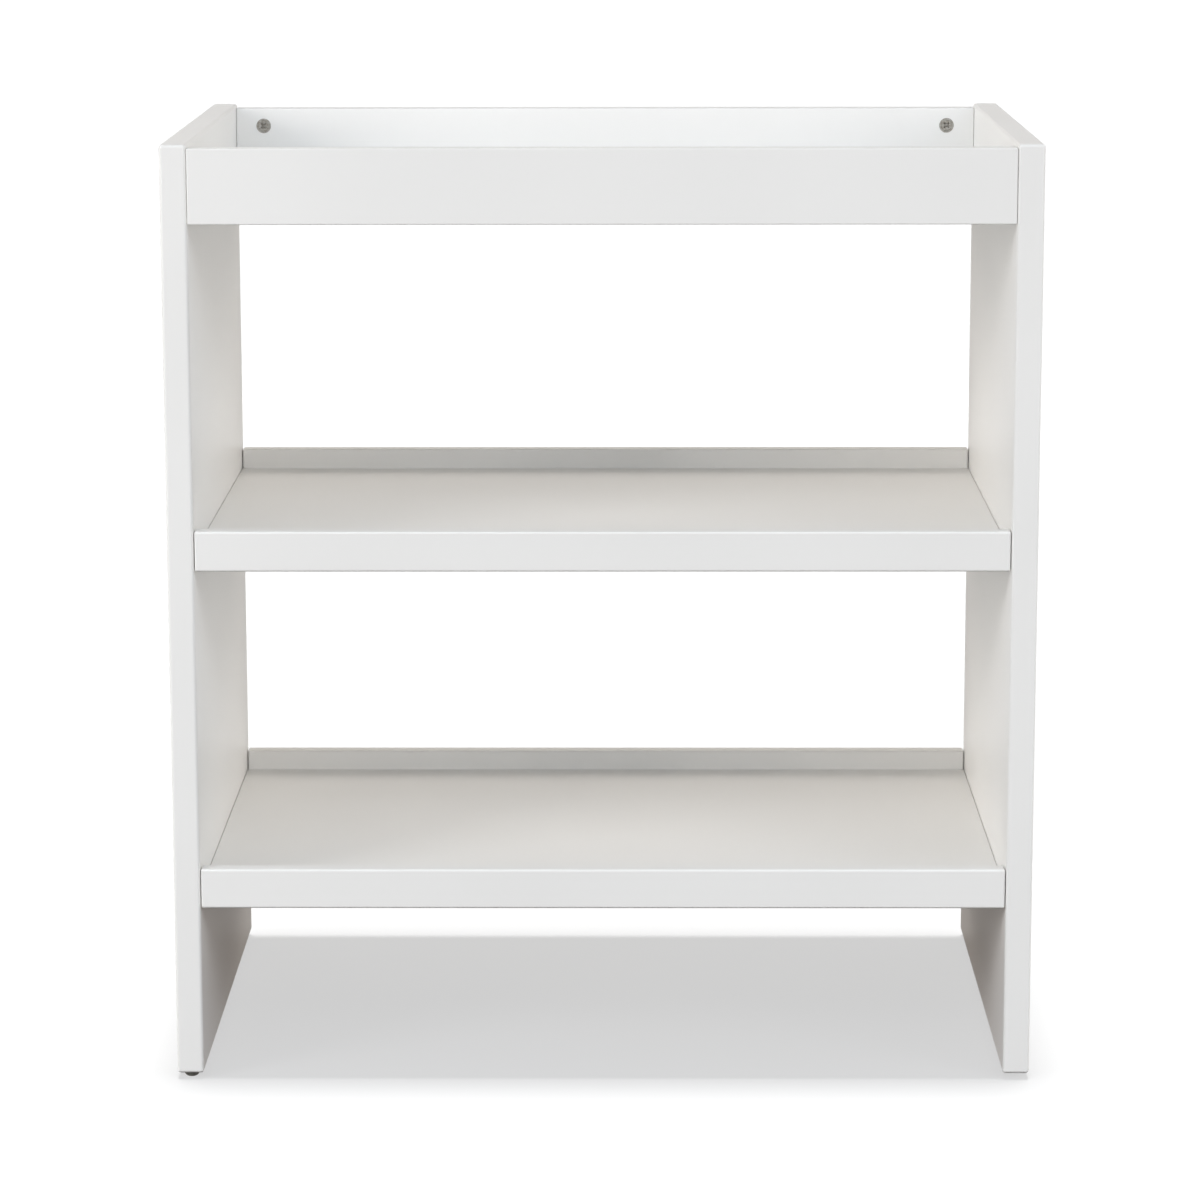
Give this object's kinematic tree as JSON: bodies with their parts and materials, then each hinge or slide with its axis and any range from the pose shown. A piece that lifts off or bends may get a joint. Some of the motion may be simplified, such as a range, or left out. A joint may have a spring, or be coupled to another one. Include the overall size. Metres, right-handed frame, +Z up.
{
  "type": "changing table",
  "caption": "Open changing table with a railed changing tray on top and two lipped shelves between solid side panels, standing on small glides.",
  "frame": {"origin": "on the floor, at the middle of the footprint", "axes": "+X to the right seen from the front, +Y to the back, +Z up; the front faces -Y"},
  "size_m": [0.812, 0.52, 0.89],
  "materials": {
    "white_lacquer": "satin white lacquer over MDF",
    "zinc": "die-cast zinc, dull",
    "plated_steel": "zinc-plated steel",
    "nylon": "natural white nylon",
    "beech": "plain beech",
    "dark_plastic": "moulded, dark grey"
  },
  "bodies": {
    "root": {"side_panel_left": "white_lacquer", "side_panel_right": "white_lacquer", "top_front_rail": "white_lacquer", "top_back_rail": "white_lacquer", "changing_top_panel": "white_lacquer", "middle_shelf_panel": "white_lacquer", "middle_shelf_front_lip": "white_lacquer", "middle_shelf_back_lip": "white_lacquer", "lower_shelf_panel": "white_lacquer", "lower_shelf_front_lip": "white_lacquer", "lower_shelf_back_lip": "white_lacquer", "front_rail_cam_locks": "zinc", "back_rail_cam_locks": "zinc", "changing_top_cam_locks": "zinc", "middle_shelf_cam_locks": "zinc", "lower_shelf_cam_locks": "zinc", "left_cam_bolts": "plated_steel", "right_cam_bolts": "plated_steel", "left_bolt_sleeves": "nylon", "right_bolt_sleeves": "nylon", "rail_end_dowels": "beech", "changing_top_end_dowels": "beech", "middle_shelf_end_dowels": "beech", "lower_shelf_end_dowels": "beech", "changing_top_glued_dowels": "beech", "middle_shelf_glued_dowels": "beech", "lower_shelf_glued_dowels": "beech", "glide_front_left": "dark_plastic", "glide_front_right": "dark_plastic", "glide_back_left": "dark_plastic", "glide_back_right": "dark_plastic", "glide_nails": "plated_steel"}
  },
  "joints": []
}
